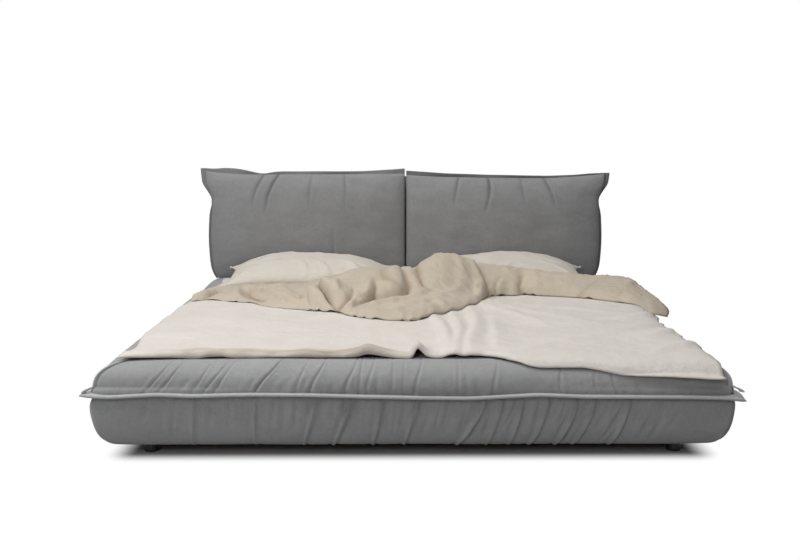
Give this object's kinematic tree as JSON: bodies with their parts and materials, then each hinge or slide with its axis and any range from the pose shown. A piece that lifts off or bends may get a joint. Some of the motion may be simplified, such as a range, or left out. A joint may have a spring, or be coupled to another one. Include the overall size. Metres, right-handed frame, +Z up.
{
  "type": "upholstered bed",
  "caption": "Low upholstered double bed with flanged bolsters round the base, cushioned headboard, mattress, pillows and a duvet thrown back at the head end.",
  "frame": {"origin": "on the floor under the screw foot of the centre leg, which stands in the middle of the bed's length and width", "axes": "+X to the right as seen from the foot end, +Y from the foot end to the headboard, +Z up"},
  "size_m": [2.3258, 2.4303, 0.9471],
  "materials": {
    "base_fabric": "brushed velvet weave",
    "headboard_fabric": "brushed velvet weave",
    "seam_fabric": "brushed velvet weave",
    "cover_fabric": "brushed velvet weave",
    "sheet_fabric": "plain cotton",
    "pillow_fabric": "washed cotton",
    "duvet_fabric": "washed cotton",
    "board_wood": "planed",
    "beam_wood": "planed",
    "slat_wood": "planed",
    "panel_wood": "plywood",
    "leg_plastic": "matt",
    "leg_steel": "powder coated",
    "bracket_steel": "zinc plated",
    "bolt_steel": "zinc plated"
  },
  "bodies": {
    "frame": {"base_cushion_front": "base_fabric", "base_cushion_left": "base_fabric", "base_cushion_right": "base_fabric", "base_flange_front": "seam_fabric", "base_flange_left": "seam_fabric", "base_flange_right": "seam_fabric", "corner_flange_left": "seam_fabric", "corner_flange_right": "seam_fabric", "foot_board": "board_wood", "head_rail": "board_wood", "side_board_left": "board_wood", "side_board_right": "board_wood", "foot_plank": "beam_wood", "side_plank_left": "beam_wood", "side_plank_right": "beam_wood", "leg_front_left": "leg_plastic", "leg_front_right": "leg_plastic", "leg_rear_left": "leg_plastic", "leg_rear_right": "leg_plastic", "slat_ledge_left": "beam_wood", "slat_ledge_right": "beam_wood", "centre_beam": "beam_wood", "beam_hanger_foot": "bracket_steel", "beam_hanger_head": "bracket_steel", "centre_leg": "leg_steel", "slat_1": "slat_wood", "slat_2": "slat_wood", "slat_3": "slat_wood", "slat_4": "slat_wood", "slat_5": "slat_wood", "slat_6": "slat_wood", "slat_7": "slat_wood", "slat_8": "slat_wood", "slat_9": "slat_wood", "slat_10": "slat_wood", "slat_11": "slat_wood", "slat_12": "slat_wood", "slat_13": "slat_wood", "corner_brackets": "bracket_steel", "frame_bolts": "bolt_steel", "headboard_batten_lower": "board_wood", "headboard_batten_upper": "board_wood", "headboard_front_panel": "cover_fabric", "headboard_upright_left": "board_wood", "headboard_upright_centre": "board_wood", "headboard_upright_right": "board_wood", "headboard_top_rail": "board_wood", "headboard_back_panel": "panel_wood", "headboard_cover": "cover_fabric", "headboard_bolts": "bolt_steel", "headboard_cushion_left": "headboard_fabric", "headboard_cushion_right": "headboard_fabric", "headboard_flange_left": "seam_fabric", "headboard_flange_right": "seam_fabric"},
    "mattress": {"mattress": "sheet_fabric"},
    "duvet": {"duvet": "duvet_fabric"},
    "pillow_left": {"pillow_left": "pillow_fabric"},
    "pillow_right": {"pillow_right": "pillow_fabric"},
    "centre_foot": {"centre_foot": "leg_plastic"}
  },
  "joints": [
    {"name": "mattress_lift", "type": "slide", "parent": "frame", "child": "mattress", "axis": [0, 0, 1], "range_m": [0, 0.4]},
    {"name": "duvet_lift", "type": "slide", "parent": "mattress", "child": "duvet", "axis": [0, 0, 1], "range_m": [0, 0.5]},
    {"name": "pillow_left_lift", "type": "slide", "parent": "mattress", "child": "pillow_left", "axis": [0, 0, 1], "range_m": [0, 0.4]},
    {"name": "pillow_right_lift", "type": "slide", "parent": "mattress", "child": "pillow_right", "axis": [0, 0, 1], "range_m": [0, 0.4]},
    {"name": "centre_foot_screw", "type": "slide", "parent": "frame", "child": "centre_foot", "axis": [0, 0, -1], "range_m": [-0.012, 0.015]}
  ]
}
